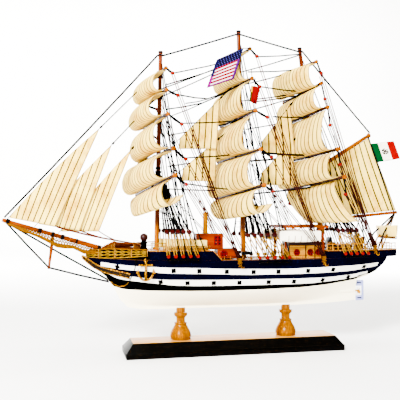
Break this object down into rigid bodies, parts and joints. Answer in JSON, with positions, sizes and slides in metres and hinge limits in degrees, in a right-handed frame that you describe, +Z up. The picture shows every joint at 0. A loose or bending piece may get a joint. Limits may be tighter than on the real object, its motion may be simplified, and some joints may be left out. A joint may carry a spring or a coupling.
{
  "type": "wooden display model of a full-rigged sailing ship on a stand",
  "caption": "Display model of a tall ship: painted hull on two turned pedestals and a chamfered base, square-rigged masts, staysails and spanker, turning rudder and propeller.",
  "frame": {"origin": "middle of the stand base's underside, on the table", "axes": "-X towards the bow, -Y to port, +Z up"},
  "size_m": [0.5331, 0.1797, 0.4217],
  "materials": {
    "black_lacquer": "glossy black lacquer, natural wood on the top face",
    "amber_wood": "glossy amber varnish",
    "navy_paint": "glossy navy paint over wood, white strakes and white bottom",
    "deck_wood": "varnished",
    "spar_wood": "varnished red-brown",
    "house_wood": "varnished orange-brown",
    "funnel_yellow": "yellow paint",
    "boat_paint": "cream paint",
    "dark_red": "dark red varnish",
    "brass": "polished",
    "grey_metal": "grey sheet metal",
    "black_cord": "waxed thread",
    "sail_cloth": "stiffened cotton",
    "flag_cloth": "printed cloth"
  },
  "bodies": {
    "model": {"anchor_port": "brass", "anchor_starboard": "brass", "boat_fore_port": "boat_paint", "boat_fore_starboard": "boat_paint", "boat_frame": "spar_wood", "boat_stern": "boat_paint", "boat_waist_port": "boat_paint", "boat_waist_starboard": "boat_paint", "boom": "spar_wood", "bowsprit": "spar_wood", "capstan": "dark_red", "deck_house_fore": "house_wood", "deck_house_mid": "house_wood", "flag_main": "flag_cloth", "flag_stern": "flag_cloth", "fore_deck": "navy_paint", "funnel": "funnel_yellow", "gaff": "spar_wood", "head_deck": "deck_wood", "head_scroll": "brass", "hull": "navy_paint", "jib_inner": "sail_cloth", "jib_middle": "sail_cloth", "jib_outer": "sail_cloth", "mast_fore": "spar_wood", "mast_main": "spar_wood", "mast_mizzen": "spar_wood", "masthead_stay": "black_cord", "pedestal_aft": "amber_wood", "pedestal_fore": "amber_wood", "poop_deck": "navy_paint", "sail_fore_course": "sail_cloth", "sail_fore_lower_topsail": "sail_cloth", "sail_fore_royal": "sail_cloth", "sail_fore_topgallant": "sail_cloth", "sail_fore_upper_topsail": "sail_cloth", "sail_main_course": "sail_cloth", "sail_main_lower_topsail": "sail_cloth", "sail_main_royal": "sail_cloth", "sail_main_topgallant": "sail_cloth", "sail_main_upper_topsail": "sail_cloth", "sail_mizzen_course": "sail_cloth", "sail_mizzen_lower_topsail": "sail_cloth", "sail_mizzen_royal": "sail_cloth", "sail_mizzen_topgallant": "sail_cloth", "sail_mizzen_upper_topsail": "sail_cloth", "sail_spanker": "sail_cloth", "shrouds_fore": "black_cord", "shrouds_main": "black_cord", "shrouds_mizzen": "black_cord", "skylight": "dark_red", "stand_base": "black_lacquer", "staysail_main_lower": "sail_cloth", "staysail_main_upper": "sail_cloth", "staysail_mizzen_lower": "sail_cloth", "staysail_mizzen_upper": "sail_cloth", "wheel_stand": "dark_red"},
    "rudder": {"rudder": "grey_metal"},
    "propeller": {"propeller": "brass"}
  },
  "joints": [
    {"name": "rudder_hinge", "type": "hinge", "parent": "model", "child": "rudder", "pos_m": [0.1728, 0, 0.075], "axis": [0, 0, 1], "range_deg": [-35, 35]},
    {"name": "propeller_shaft", "type": "hinge", "parent": "model", "child": "propeller", "pos_m": [0.1764, 0, 0.0738], "axis": [1, 0, 0], "continuous": true}
  ]
}
